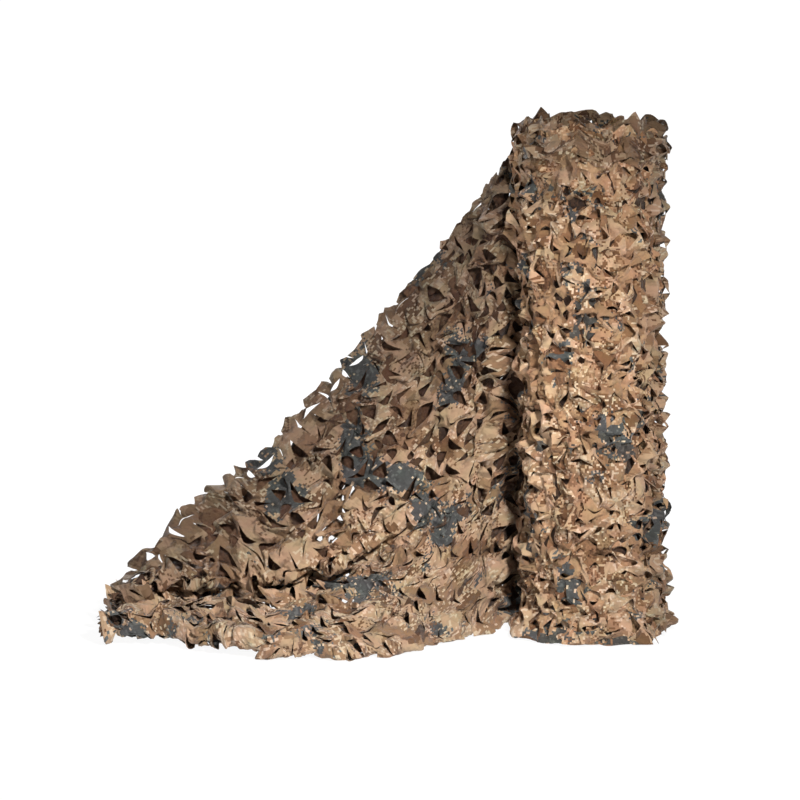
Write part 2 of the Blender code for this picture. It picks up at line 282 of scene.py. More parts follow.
COLUMN_STARTS = np.linspace(-0.3, 3.6, 196)
COLUMN_DOWNS = np.linspace(0.0, 1.45, 195)
COLUMN_RUNS, COLUMN_DEPTHS = trace_columns(COLUMN_STARTS, COLUMN_DOWNS)


def from_lattice(start, down):
    """Run and depth on the cloth for a lattice place: start picks the column, down goes along."""
    column = (start - COLUMN_STARTS[0]) / (COLUMN_STARTS[1] - COLUMN_STARTS[0])
    column = np.clip(column, 0, len(COLUMN_STARTS) - 1.001)
    level = np.clip(down / COLUMN_DOWNS[1], 0, len(COLUMN_DOWNS) - 1.001)
    a, b = column.astype(int), level.astype(int)
    s, t = column - a, level - b
    run, depth = (blended(s, t, table[a, b], table[a + 1, b], table[a, b + 1], table[a + 1, b + 1])
                  for table in (COLUMN_RUNS, COLUMN_DEPTHS))
    above = np.maximum(-down, 0.0) * HANGING_ROW
    return run + HANGING_LEAN * above, depth - above


def hung_net(sunk, drawn_in=0.0):
    """The hang as the leaf lattice meets it, sunk behind its face by a small distance, which
    shrinks to almost nothing at the roll and is drawn in where the cloth turns back under it."""
    def place(start, down):
        run, depth = from_lattice(start, down)
        run = np.maximum(run, 0.0)
        depth = depth + 0.030 * bell((run - 0.27) / 0.14) * clamp01(1 - depth / 0.3)
        points = hang(run, depth)
        if sunk:
            turned_back = ease((depth - hung_length(run)) / 0.08) * clamp01((run - 0.7) / 0.2)
            kept = clamp01(0.15 + run / 0.2) * (1 - drawn_in * turned_back)
            points = points - facing(hang, run, depth, 0.003) * (sunk * kept)[..., None]
        return points
    return place


ROOT_LAP = 0.07            # how far the loose end's rear ply starts round on the roll


def rooted(sunk):
    """The loose end from behind where it comes off the roll: upright columns of leaves that start
    on the roll's rear and stand off from the cloth a little more with each step away from it."""
    def place(start, down):
        run = start - ROOT_LAP
        on_roll = np.maximum(-run, 0.0)
        depth = down + 0.030 * bell((run - 0.27) / 0.14) * clamp01(1 - down / 0.3)
        points = hang(np.maximum(run, 0.0), depth)
        turned = np.clip(run, 0.0, 0.15) / ROLL_RADIUS * (1 - ease((run - 0.15) / 0.12))
        away = sunk * ease((run + ROOT_LAP) / 0.16) - 0.002
        x = points[..., 0] + on_roll - away * np.sin(turned)
        y = points[..., 1] - on_roll * on_roll / (2 * ROLL_RADIUS) + away * np.cos(turned)
        return np.stack([x, y, points[..., 2]], axis=-1)
    return place


def wall_radius(turned, height):
    """Radius of the wound net, turned being the angle from its last edge, clockwise from above."""
    settled = clamp01(turned / 0.5) * clamp01((2 * math.pi - turned) / 1.3)
    front = clamp01(turned / 0.5) * clamp01((5.6 - turned) / 1.0)
    swell = np.interp(height, FOOT_SWELL[:, 0], FOOT_SWELL[:, 1]) * (0.85 + 0.25 * np.sin(turned))
    lumps = (0.0022 * np.sin(3 * turned + 5.0 * height)
             + 0.0016 * np.sin(7 * turned - 9.0 * height + 1.0)
             + 0.0016 * np.sin(23.0 * height + 2 * turned))
    return ROLL_RADIUS - TURN_STEP * turned / (2 * math.pi) + swell * front + lumps * settled


# Leaves that stand out of the roll: angle round it, height, reach and breadth.
LOBES = (
    (1.57, 1.480, -0.024, 0.050), (1.57, 0.520, 0.012, 0.050), (1.57, 0.135, 0.018, 0.035),
    (4.60, 1.490, -0.016, 0.040), (4.96, 1.460, 0.034, 0.045), (4.45, 0.020, 0.026, 0.040),
    (3.90, 0.020, 0.020, 0.040), (1.50, 0.365, 0.024, 0.022), (1.62, 0.165, 0.024, 0.026),
    (1.55, 0.100, 0.020, 0.018), (1.58, 0.045, 0.030, 0.020), (1.45, 0.560, 0.014, 0.022),
    (1.66, 0.980, 0.012, 0.024), (1.52, 1.370, 0.010, 0.022), (4.20, 0.030, 0.030, 0.030),
    (2.50, 0.020, 0.026, 0.040), (3.50, 0.020, 0.026, 0.050), (3.00, 0.300, 0.012, 0.030),
    (2.30, 0.800, 0.012, 0.030), (4.88, 1.400, 0.030, 0.050), (4.98, 1.320, 0.014, 0.050),
    (5.02, 1.380, 0.024, 0.070), (5.05, 1.270, 0.040, 0.075), (5.10, 1.150, 0.038, 0.075),
    (5.10, 1.040, 0.026, 0.060), (4.72, 1.250, 0.010, 0.060), (4.86, 0.960, 0.022, 0.030),
    (4.94, 0.860, 0.012, 0.026), (4.80, 0.775, 0.026, 0.028), (4.92, 0.690, 0.014, 0.022),
    (4.84, 0.600, 0.028, 0.030), (4.96, 0.500, 0.012, 0.024), (4.86, 0.410, 0.024, 0.026),
    (4.90, 0.320, 0.012, 0.022), (4.84, 0.235, 0.026, 0.028), (4.92, 0.140, 0.016, 0.024),
    (3.60, 1.150, 0.012, 0.030), (0.60, 0.700, 0.014, 0.030), (5.60, 1.100, 0.014, 0.030))

# Where the roll's upper rim sags or stands up: angle, drop, breadth.
SAGS = ((0.80, 0.022, 0.45), (0.15, 0.013, 0.35), (1.60, 0.018, 0.35), (2.40, 0.008, 0.40),
        (4.72, 0.022, 0.30), (5.50, 0.012, 0.12), (5.75, -0.005, 0.30), (0.45, -0.012, 0.09),
        (1.02, -0.014, 0.08), (2.02, 0.012, 0.12), (2.65, -0.012, 0.10), (3.05, 0.012, 0.12),
        (3.42, -0.014, 0.10), (3.90, 0.010, 0.12), (4.25, 0.006, 0.10), (5.30, -0.004, 0.12),
        (5.62, 0.010, 0.08), (6.00, -0.010, 0.09))


def loosened(turned, height):
    """Radius and height that the turns gain where they are loose: lobes, a flare at the foot, and
    an upper rim that sags at the back right and at the left corner."""
    chooser = np.random.default_rng(5)
    lobes = np.concatenate([LOBES, np.stack([
        chooser.uniform(0, 2 * math.pi, 70), chooser.uniform(0.05, 1.45, 70),
        chooser.uniform(-0.006, 0.010, 70), chooser.uniform(0.018, 0.040, 70)], axis=1)])
    gain = 0.018 * np.exp(-height / 0.030) * (0.75 + 0.25 * np.sin(5 * turned + 1.0))
    for angle, level, reach, breadth in lobes:
        gain = gain + reach * (bell((turned - angle) * ROLL_RADIUS / breadth)
                               * bell((height - level) / breadth))
    sag = 0 * turned
    for angle, drop, breadth in SAGS:
        sag = sag + drop * bell(((turned - angle + math.pi) % (2 * math.pi) - math.pi) / breadth)
    return gain, sag * ease((height - 1.34) / 0.14)


def wound(sunk, lowered=0.0):
    """A surface round the roll, sunk below its wall: run clockwise from the last edge, across down
    from the upper selvedge."""
    def place(run, across):
        turned = run / ROLL_RADIUS
        height = NET_WIDTH - lowered - across
        gain, sag = loosened(turned, height)
        radius = wall_radius(np.clip(turned, 0, 2 * math.pi), np.clip(height, 0, NET_WIDTH)) - sunk
        radius = radius + gain * clamp01(turned / 0.3) * clamp01((2 * math.pi - turned) / 0.5)
        x = radius * np.sin(turned)
        x = x + 0.008 * clamp01((0.9 - height) / 0.6) * clamp01(x / 0.1)
        return np.stack([x, radius * np.cos(turned), height - sag], axis=-1)
    return place


def coiled(edge_height, inward):
    """The wound turns seen on an end of the roll, as one upright band: run is the length along
    the spiral from its outer end, across the distance from the band's outer edge.  Along a spiral
    whose turns are one pitch apart, radius squared falls evenly with the length."""
    def place(run, across):
        squared = np.maximum(COIL_RADIUS * COIL_RADIUS - run * TURN_PITCH / math.pi, 0.0)
        radius = np.sqrt(squared) + 0.010
        turned = 2 * math.pi * (COIL_RADIUS - np.sqrt(squared)) / TURN_PITCH
        sunk = 0.016 * (1 - radius / ROLL_RADIUS) + 0.004 * np.sin(3.1 * turned)
        _, sag = loosened(turned % (2 * math.pi), edge_height + 0 * turned)
        height = edge_height + inward * (across + sunk) - sag
        return np.stack([radius * np.sin(turned), radius * np.cos(turned), height], axis=-1)
    return place


# ---------------------------------------------------------------- the leaf lattice

def slit_profile(place, half_length, roundness):
    """How far a slit's lip is pushed, from its middle (one) to its end (nought)."""
    share = np.clip(place / half_length, 0.0, 1.0)
    return 1.0 - share ** roundness


def leaf_offsets(columns, rows, steps, looks, seed):
    """Offsets of every grid point of every leaf, in leaf pitches along, across and outward.

    Lattice corners take turns: at one a cut lies along the cloth, at the next a cut lies across
    it.  Each cut is bowed to a point, so that one lip is a tongue and the other a notch: the notch
    stands off by bow + opening, and the tongue, curled up by its angle, by bow * cos + cover *
    opening: below nought it leaves a gap, and above it hangs over the notch like a shingle.
    Along each side of a leaf, the push of the cut at one end fades out by the neck, and the push
    of the crossing cut at the other end fades in towards it.  The leaf's inside is blended from
    its four sides (a Coons patch).
    """
    chooser = np.random.default_rng(seed)
    i, j = np.meshgrid(np.arange(columns + 1), np.arange(rows + 1), indexing="ij")
    along = (i + j) % 2 == 0
    shape = i.shape

    def spread(low, high):
        return chooser.uniform(low, high, shape)

    opening = looks["opening"](i / columns, j / rows) * spread(0.6, 1.3)
    calm = looks["calm"](i / columns, j / rows)
    calm = np.where(along, calm ** 2, calm ** 0.6)
    side = np.where(chooser.random(shape) < looks["same_way"], 1.0, -1.0)
    bow = looks["bow"] * spread(0.55, 1.2)
    angle = np.radians(looks["curl"] * spread(0.15, 1.5)) * calm
    lean = looks["lean"] * spread(-1.0, 1.0)
    half_length = spread(*looks["half_length"])
    roundness = spread(*looks["roundness"])

    # Some cuts gape, and the tongue of the others hangs over its notch.
    gaping, lapping = looks["cover"]
    cover = np.where(chooser.random(shape) < looks["gaps"], gaping * spread(0.3, 1.0),
                     lapping * spread(0.2, 1.0))
    notch = side * (bow + opening)
    tongue = side * (bow * np.cos(angle) + cover * opening)
    notch_out = -0.35 * bow * np.sin(angle)
    tongue_out = (bow + 0.30) * np.sin(angle) + 0.12 * clamp01(cover)
    lips = {}
    # 'far' is the lip on the growing side of the cut, 'near' the other.
    for name, is_notch in (("far", side > 0), ("near", side < 0)):
        push = np.where(is_notch, notch, tongue)
        slip = np.where(is_notch, 0.5, 1.0) * lean
        out = np.where(is_notch, notch_out, tongue_out)
        lips[name] = np.where(along[..., None], np.stack([slip, push, out], -1),
                              np.stack([push, slip, out], -1))
    free = (i == 0) | (i == columns) | (j == 0) | (j == rows)
    jitter = np.stack([spread(-1, 1), spread(-1, 1), spread(-1, 1) * calm], -1)
    jitter = jitter * np.array(looks["jitter"])
    for name in lips:
        lips[name][free] *= 0.35
        lips[name][:, 1] *= looks.get("first_row", 1.0)
    jitter[free] *= np.array((1.0, 0.9, 1.3))

    t = np.linspace(0.0, 1.0, steps + 1)
    fade_in = ease(t)

    def side_offsets(cut_at_start, start_lip, end_lip, start, end):
        """Offsets along one side: start and end are index pairs of its two corners."""
        first, second = (slit_profile(place, half_length[corner][..., None],
                                      roundness[corner][..., None])
                         for place, corner in ((t, start), (1 - t, end)))
        first = np.where(cut_at_start[..., None], first, 1 - fade_in)[..., None]
        second = np.where(cut_at_start[..., None], fade_in, second)[..., None]
        return first * start_lip[:, :, None, :] + second * end_lip[:, :, None, :]

    west, east = slice(0, columns), slice(1, columns + 1)
    south, north = slice(0, rows), slice(1, rows + 1)

    def corner_lip(cols, rws, far_along, far_across):
        """The lip a leaf touches at one of its corners: by its side of the cut there."""
        far, near = lips["far"][cols, rws], lips["near"][cols, rws]
        return np.where(along[cols, rws][..., None], far if far_across else near,
                        far if far_along else near)

    sw = corner_lip(west, south, True, True)
    se = corner_lip(east, south, False, True)
    nw = corner_lip(west, north, True, False)
    ne = corner_lip(east, north, False, False)

    # A side along the cloth is cut at its 'along' corner; a side across it, at its other corner.
    bottom = side_offsets(along[west, south], sw, se, (west, south), (east, south))
    top = side_offsets(along[west, north], nw, ne, (west, north), (east, north))
    left = side_offsets(~along[west, south], sw, nw, (west, south), (west, north))
    right = side_offsets(~along[east, south], se, ne, (east, south), (east, north))

    s = t[:, None, None]
    u = t[None, :, None]

    def from_corners(*corners):
        return blended(s, u, *(corner[:, :, None, None, :] for corner in corners))

    blend = ((1 - u) * bottom[:, :, :, None, :] + u * top[:, :, :, None, :]
             + (1 - s) * left[:, :, None, :, :] + s * right[:, :, None, :, :])
    shaken = from_corners(jitter[west, south], jitter[east, south], jitter[west, north],
                          jitter[east, north])
    # One crease through each leaf, in any direction: a ridge or a valley.
    depth = chooser.uniform(-1, 1, (columns, rows)) * calm[1:, 1:]
    depth = looks["crease"] * depth[:, :, None, None]
    heading = chooser.uniform(0, math.pi, (columns, rows))[:, :, None, None]
    from_line = np.abs((s[..., 0] - 0.5) * np.cos(heading) + (u[..., 0] - 0.5) * np.sin(heading))
    offsets = blend - from_corners(sw, se, nw, ne) + shaken
    dome = np.sqrt(16 * s * (1 - s) * u * (1 - u))[..., 0]
    offsets[..., 2] += depth * (1 - 2.2 * from_line) * dome
    return offsets


def folded(run, across, height, size, seed):
    """Crisp crumpling: random heights at the corners of a bent net of triangles, flat in each.
    A square of the net is split from corner to corner; in the lower half the height is
    h00 + (h10 - h00) a + (h01 - h00) b, in the upper half the same from the far corner."""
    across_net, down_net = 89, 97
    heights = np.random.default_rng(seed).uniform(-1, 1, (across_net, down_net))
    u = run / size + 0.45 * np.sin(across / size * 0.9 + 1.0) + 0.3 * np.sin(across / size * 2.3)
    v = across / size + 0.45 * np.sin(run / size * 0.8 + 2.0) + 0.3 * np.sin(run / size * 2.1)
    i, j = np.floor(u).astype(int), np.floor(v).astype(int)
    a, b = u - i, v - j

    def corner(di, dj):
        return heights[(i + di) % across_net, (j + dj) % down_net]

    low = corner(0, 0) * (1 - a - b) + corner(1, 0) * a + corner(0, 1) * b
    high = corner(1, 1) * (a + b - 1) + corner(1, 0) * (1 - b) + corner(0, 1) * (1 - a)
    return height * np.where(a + b < 1, low, high)


def crumpled(run, across, height, shortest, longest, seed):
    """Creases of the whole cloth: a sum of slanting zigzag waves of many lengths."""
    chooser = np.random.default_rng(seed)
    total = np.zeros(run.shape)
    for _ in range(12):
        angle = chooser.uniform(0, math.pi)
        length = chooser.uniform(shortest, longest)
        phase = 2 * math.pi / length * (run * math.cos(angle) + across * math.sin(angle))
        zigzag = np.arcsin(0.98 * np.sin(phase + chooser.uniform(0, 6.3)))
        total += zigzag * (length / longest) ** 0.6
    return height * total / 3.2


FINE_NUDGE = 0.002         # step by which a surface's slope is felt
JOIN = 1e-5                # points this close become one
PRESSED_BELOW = 0.006      # height under which leaves are pressed flat on the floor
FLAT_LIE = 0.002           # and the height at which they lie at least


def lay_net(name, place, length, width, pitch, steps, looks, seed, material, keep=None,
            cloth_start=(0.0, 0.0), outward=1.0, floor=True):
    """One piece of leaf-cut net laid over the surface that place(run, across) gives.

    The lattice's own run and across are shifted by each leaf's offsets, put on the surface, and
    moved along the surface's normal by the outward offset and the crumple.
    """
    columns, rows = max(2, round(length / pitch)), max(2, round(width / pitch))
    step_run, step_across = length / columns, width / rows
    offsets = leaf_offsets(columns, rows, steps, looks, seed)
    t = np.linspace(0.0, 1.0, steps + 1)
    column = np.arange(columns)[:, None, None, None]
    run = (column + t[None, None, :, None]) * step_run
    across = (np.arange(rows)[None, :, None, None] + t[None, None, None, :]) * step_across
    run = np.broadcast_to(run, offsets.shape[:-1])
    across = np.broadcast_to(across, offsets.shape[:-1])
    pushed_run = run + offsets[..., 0] * step_run
    pushed_across = across + offsets[..., 1] * step_across
    if "teeth" in looks:
        # Leaf tips along the upper edge, of uneven height; the first row of leaves is cut short.
        chooser = np.random.default_rng(seed + 2)
        height, slant = (chooser.uniform(low, high, column.shape)
                         for low, high in ((-0.1, 1.15), (0.15, 0.85)))
        phase = run / step_run - column
        tip = np.where(phase < slant, phase / slant, (1 - phase) / (1 - slant)) * height
        tip = tip * (0.25 + 0.75 * clamp01(run / looks["full_teeth"] - 0.5))
        near_edge = clamp01(1 - across / step_across)
        pushed_across = pushed_across + step_across * (
            looks["trim"] * (near_edge - 1) - looks["teeth"] * tip * near_edge ** 2)

    halfway = run + 0.5 * (pushed_run - run)
    out = (offsets[..., 2] * pitch + crumpled(run, across, looks["crumple"], 0.07, 0.26, seed + 1)
           + folded(halfway, across, looks["fold"], looks["facet"], seed + 3))
    normal = facing(place, pushed_run, pushed_across, FINE_NUDGE)
    points = place(pushed_run, pushed_across) + normal * (outward * out)[..., None]
    if floor:
        # Leaves are pressed flat where they meet the floor.
        z = points[..., 2]
        left = (PRESSED_BELOW - FLAT_LIE) * np.exp((z - PRESSED_BELOW) / PRESSED_BELOW)
        points[..., 2] = np.where(z < PRESSED_BELOW, FLAT_LIE + left, z)

    wanted = np.ones((columns, rows), bool)
    if keep is not None:
        middle = [(np.arange(count) + 0.5) * step
                  for count, step in ((columns, step_run), (rows, step_across))]
        wanted = keep(*np.meshgrid(*middle, indexing="ij"))

    index = np.arange(run.size).reshape(run.shape)
    a, b = index[:, :, :-1, :-1], index[:, :, 1:, :-1]
    c, d = index[:, :, 1:, 1:], index[:, :, :-1, 1:]
    quads = np.stack([a, b, c, d] if outward > 0 else [a, d, c, b], -1)[wanted].reshape(-1, 4)

    flat = points.reshape(-1, 3)
    cloth = np.stack([cloth_start[0] + pushed_run, cloth_start[1] + pushed_across], -1)
    # Join leaves where their necks meet: points at one place become one point.
    keys = np.round(flat / JOIN).astype(np.int64)
    _, first, joined = np.unique(keys, axis=0, return_index=True, return_inverse=True)
    faces = joined.reshape(-1)[quads]
    spots = flat[first]
    # Quads that have shrunk to a line or a point are left out.
    a, b, c, d = (spots[faces[:, k]] for k in range(4))
    whole = np.linalg.norm(np.cross(c - a, d - b), axis=1) > 1e-7
    whole &= (faces != np.roll(faces, -1, axis=1)).all(axis=1)
    faces, quads = faces[whole], quads[whole]
    used, faces = np.unique(faces, return_inverse=True)
    return net_object(name, spots[used], faces.reshape(-1, 4),
                      cloth.reshape(-1, 2)[quads.reshape(-1)], material)


def put_in_scene(name, data):
    """A new object of that name in the scene, with the mesh, lens or lamp it is given."""
    thing = bpy.data.objects.new(name, data)
    bpy.context.scene.collection.objects.link(thing)
    return thing


def net_object(name, points, faces, cloth, material):
    """A piece of net from its points, its faces and the place on the flat cloth of each corner."""
    mesh = bpy.data.meshes.new(name)
    mesh.vertices.add(len(points))
    mesh.vertices.foreach_set("co", points.astype(np.float32).ravel())
    mesh.loops.add(faces.size)
    mesh.loops.foreach_set("vertex_index", faces.astype(np.int32).ravel())
    mesh.polygons.add(len(faces))
    size = faces.shape[1]
    mesh.polygons.foreach_set("loop_start", np.arange(0, faces.size, size, dtype=np.int32))
    mesh.polygons.foreach_set("loop_total", np.full(len(faces), size, dtype=np.int32))
    mesh.update(calc_edges=True)
    layer = mesh.uv_layers.new(name="cloth")
    layer.data.foreach_set("uv", cloth.astype(np.float32).ravel())
    mesh.polygons.foreach_set("use_smooth", np.ones(len(faces), dtype=bool))
    mesh.materials.append(material)
    mesh.validate()
    mesh.set_sharp_from_angle(angle=math.radians(22))
    return put_in_scene(name, mesh)


# ---------------------------------------------------------------- printed cloth

PIXEL = 0.0054             # one square of the print


def hex_colour(red, green, blue):
    """A colour from 0 to 255 as light, by the usual display curve."""
    shares = (value / 255 for value in (red, green, blue))
    return (*(share / 12.92 if share <= 0.04045 else ((share + 0.055) / 1.055) ** 2.4
              for share in shares), 1.0)


SAND = hex_colour(189, 158, 128)
TAN = hex_colour(152, 119, 89)
BROWN = hex_colour(115, 81, 52)
CREAM = hex_colour(212, 190, 165)
SLATE = hex_colour(70, 72, 73)
SLATE_PALE = hex_colour(96, 99, 99)
# The cloth's reverse, in a dark warm brown that is painted shade: it stands for the shade in the
# gaps it shows through.
SHADED_REVERSE = hex_colour(100, 64, 38)


class Nodes:
    """A material's nodes, added one after another."""

    def __init__(self, name):
        self.material = bpy.data.materials.new(name)
        self.material.use_nodes = True
        self.tree = self.material.node_tree
        self.shader = self.tree.nodes["Principled BSDF"]

    def feed(self, node, inputs):
        """Give a node's sockets constants or other nodes' outputs."""
        for socket, value in inputs.items():
            if isinstance(value, bpy.types.NodeSocket):
                self.tree.links.new(value, node.inputs[socket])
            else:
                node.inputs[socket].default_value = value

    def add(self, kind, inputs=None, **settings):
        node = self.tree.nodes.new(kind)
        for setting, value in settings.items():
            setattr(node, setting, value)
        self.feed(node, inputs or {})
        return node

    def vector(self, operation, first, second, socket=1):
        return self.add("ShaderNodeVectorMath", {0: first, socket: second}, operation=operation)

    def noise(self, vector, scale, detail=1.0, shift=(0.0, 0.0, 0.0)):
        moved = self.vector("ADD", vector, shift).outputs[0]
        return self.add("ShaderNodeTexNoise", {"Vector": moved, "Scale": scale, "Detail": detail,
                                               "Roughness": 0.5}).outputs[0]

    def maths(self, operation, first, second):
        return self.add("ShaderNodeMath", {0: first, 1: second}, operation=operation).outputs[0]

    def plus(self, first, second):
        return self.maths("ADD", first, second)

    def times(self, first, second):
        return self.maths("MULTIPLY", first, second)

    def swing(self, value, middle, amount):
        """What a value has above its middle, times an amount."""
        return self.times(self.maths("SUBTRACT", value, middle), amount)

    def above(self, value, limit):
        return self.maths("GREATER_THAN", value, limit)

    def ramp(self, value, start, end, first, last):
        """First up to the start, last from the end on, and evenly from one to the other."""
        return self.add("ShaderNodeMapRange", {"Value": value, "From Min": start, "From Max": end,
                                               "To Min": first, "To Max": last}).outputs[0]

    def mix(self, factor, first, second):
        return self.add("ShaderNodeMix", {0: factor, 6: first, 7: second},
                        data_type="RGBA").outputs[2]


def printed_cloth(name, dim, plain=False, cast=(1.0, 1.0, 1.0), edge=(0.0, 0.01, 1.0),
                  foot=(1.0, 1.4, 0.90), side=(-9.0, 1.0), layout=(6.5, 27.0, 0.0), rarity=0.596):
    """Matt woven cloth with a print of small squares: sand, tan and brown patches, blue-grey
    blotches with broken edges, and sprinklings of cream squares.  The print lies on the cloth's own
    flat measure, so it bends with every leaf.

    dim and cast scale its lightness and colour, which makes lighter and darker, warmer copies of
    one
    print: painted light and painted shade.  A plain cloth shows its reverse, in a dark colour that
    is painted shade.  edge is the start, end and first lightness of the upper edge, darkened as
    painted shade; foot the start, end and last lightness of the foot, darker towards the bottom;
    and side the middle and lightness of one upright strip, darkened as painted shade.
    layout moves the blotches, and a higher rarity leaves fewer of them.
    """
    nodes = Nodes(name)
    cloth = nodes.add("ShaderNodeUVMap", uv_map="cloth").outputs[0]
    squares = nodes.vector("SNAP", cloth, (PIXEL, PIXEL, 1.0)).outputs[0]
    fine = nodes.add("ShaderNodeTexWhiteNoise", {"Vector": squares},
                     noise_dimensions="2D").outputs[0]
    jag = nodes.noise(squares, 66.0, 1.0, (7.1, 3.3, 0.0))
    dots = nodes.noise(squares, 96.0, 0.0, (2.0, 5.0, 0.0))

    def ragged(scale, amount, shift):
        """A patch field whose edges are broken by the jag field."""
        return nodes.plus(nodes.noise(squares, scale, 2.0, shift), nodes.swing(jag, 0.5, amount))

    colour = nodes.mix(nodes.above(ragged(9.0, 0.16, (0.0, 0.0, 0.0)), 0.48), TAN, SAND)
    colour = nodes.mix(nodes.above(ragged(12.0, 0.20, (4.0, 9.0, 0.0)), 0.61), colour, BROWN)

    pale_zone = nodes.above(nodes.noise(squares, 8.0, 1.0, (1.0, 20.0, 0.0)), 0.50)
    colour = nodes.mix(nodes.times(pale_zone, nodes.above(dots, 0.585)), colour, CREAM)
    dark_zone = nodes.above(nodes.noise(squares, 9.0, 1.0, (21.0, 4.0, 0.0)), 0.56)
    colour = nodes.mix(nodes.times(dark_zone, nodes.above(fine, 0.72)), colour, BROWN)

    blotch = nodes.plus(ragged(5.4, 0.13, layout), nodes.swing(fine, 0.5, 0.06))
    slate = nodes.mix(nodes.above(jag, 0.58), SLATE, SLATE_PALE)
    slate = nodes.mix(nodes.above(dots, 0.72), slate, CREAM)
    colour = nodes.mix(nodes.above(blotch, rarity), colour, slate)

    # A plain cloth mixes in the reverse's dark colour: painted shade.
    if plain:
        mottled = nodes.noise(cloth, 14.0, 3.0, (3.0, 3.0, 0.0))
        colour = nodes.mix(nodes.times(mottled, 0.5), SHADED_REVERSE, colour)

    # Slow fading and handling marks.
    fade = nodes.noise(cloth, 5.0, 4.0, (8.0, 8.0, 0.0))
    shade = nodes.times(nodes.plus(nodes.times(fade, 0.34), 0.83), dim)
    # Painted shade: the upper edge and one upright strip are darker than the rest.  The foot is
    # darker towards the bottom.
    along, across, _ = nodes.add("ShaderNodeSeparateXYZ", {0: cloth}).outputs
    shade = nodes.times(shade, nodes.ramp(across, *edge, 1.0))
    shade = nodes.times(shade, nodes.ramp(across, foot[0], foot[1], 1.0, foot[2]))
    # Painted shade along one upright strip: on the roll, its right flank.
    from_strip = nodes.maths("ABSOLUTE", nodes.maths("SUBTRACT", along, side[0]), 0.0)
    shade = nodes.times(shade, nodes.ramp(from_strip, 0.09, 0.21, side[1], 1.0))
    scaled = nodes.vector("SCALE", colour, shade, "Scale").outputs[0]
    drift = nodes.swing(nodes.noise(cloth, 17.0, 2.0), 0.35, 3.0)
    # cast warms the darker copies' colour, as painted shade.
    red, green, blue = cast
    tint = nodes.mix(drift, (1.05 * red, 0.96 * green, 0.97 * blue, 1.0),
                     (0.95 * red, 1.02 * green, 0.93 * blue, 1.0))

    # Threads of the weave.
    warp, weft = (nodes.add("ShaderNodeTexWave", {"Vector": cloth, "Scale": 260.0},
                            bands_direction=direction).outputs[1] for direction in "XY")
    # Crumpling: small pyramids of two sizes, turned apart, whose facets catch the light singly.
    height = nodes.times(nodes.plus(warp, weft), 0.03)
    facets = []
    for scale, angle in ((34.0, 0.5), (62.0, 1.2)):
        spun = nodes.add("ShaderNodeVectorRotate", {"Vector": cloth, "Angle": angle}).outputs[0]
        pyramid = nodes.add("ShaderNodeTexVoronoi", {"Vector": spun, "Scale": scale},
                            voronoi_dimensions="2D", distance="CHEBYCHEV").outputs[0]
        facets.append(nodes.times(pyramid, 34.0 / scale))
    height = nodes.plus(height, nodes.plus(*facets))
    bump = nodes.add("ShaderNodeBump", {"Height": height, "Strength": 1.0, "Distance": 0.010})
    nodes.feed(nodes.shader, {
        "Base Color": nodes.vector("MULTIPLY", scaled, tint).outputs[0],
        "Normal": bump.outputs[0], "Roughness": nodes.plus(nodes.times(fade, 0.18), 0.56),
        "Sheen Weight": 0.10, "Sheen Roughness": 0.5, "Specular IOR Level": 0.42})
    return nodes.material


# ---------------------------------------------------------------- camera, light and stage

def set_camera():
    """A long lens at eye height, looking a little down."""
    data = bpy.data.cameras.new("camera")
    data.lens = 149.2
    data.sensor_width = 36.0
    data.clip_end = 200.0
    camera = put_in_scene("camera", data)
    camera.location = (-0.555, -9.5, 2.16)
    camera.rotation_euler = (math.radians(90 - 8.83), 0.0, 0.0)
    bpy.context.scene.camera = camera


def soft_light(name, place, aim, size, power, colour=(1.0, 1.0, 1.0), beam=180.0):
    """A round lamp at a place, turned to its aim, with a beam of so many degrees."""
    data = bpy.data.lights.new(name, "AREA")
    data.shape = "DISK"
    data.size = size
    data.energy = power
    data.color = colour
    data.spread = math.radians(beam)
    light = put_in_scene(name, data)
    light.location = place
    x, y, z = np.array(aim, float) - np.array(place, float)
    yaw, pitch = math.atan2(y, x), math.atan2(z, math.hypot(x, y))
    light.rotation_euler = (math.pi / 2 + pitch, 0.0, yaw - math.pi / 2)


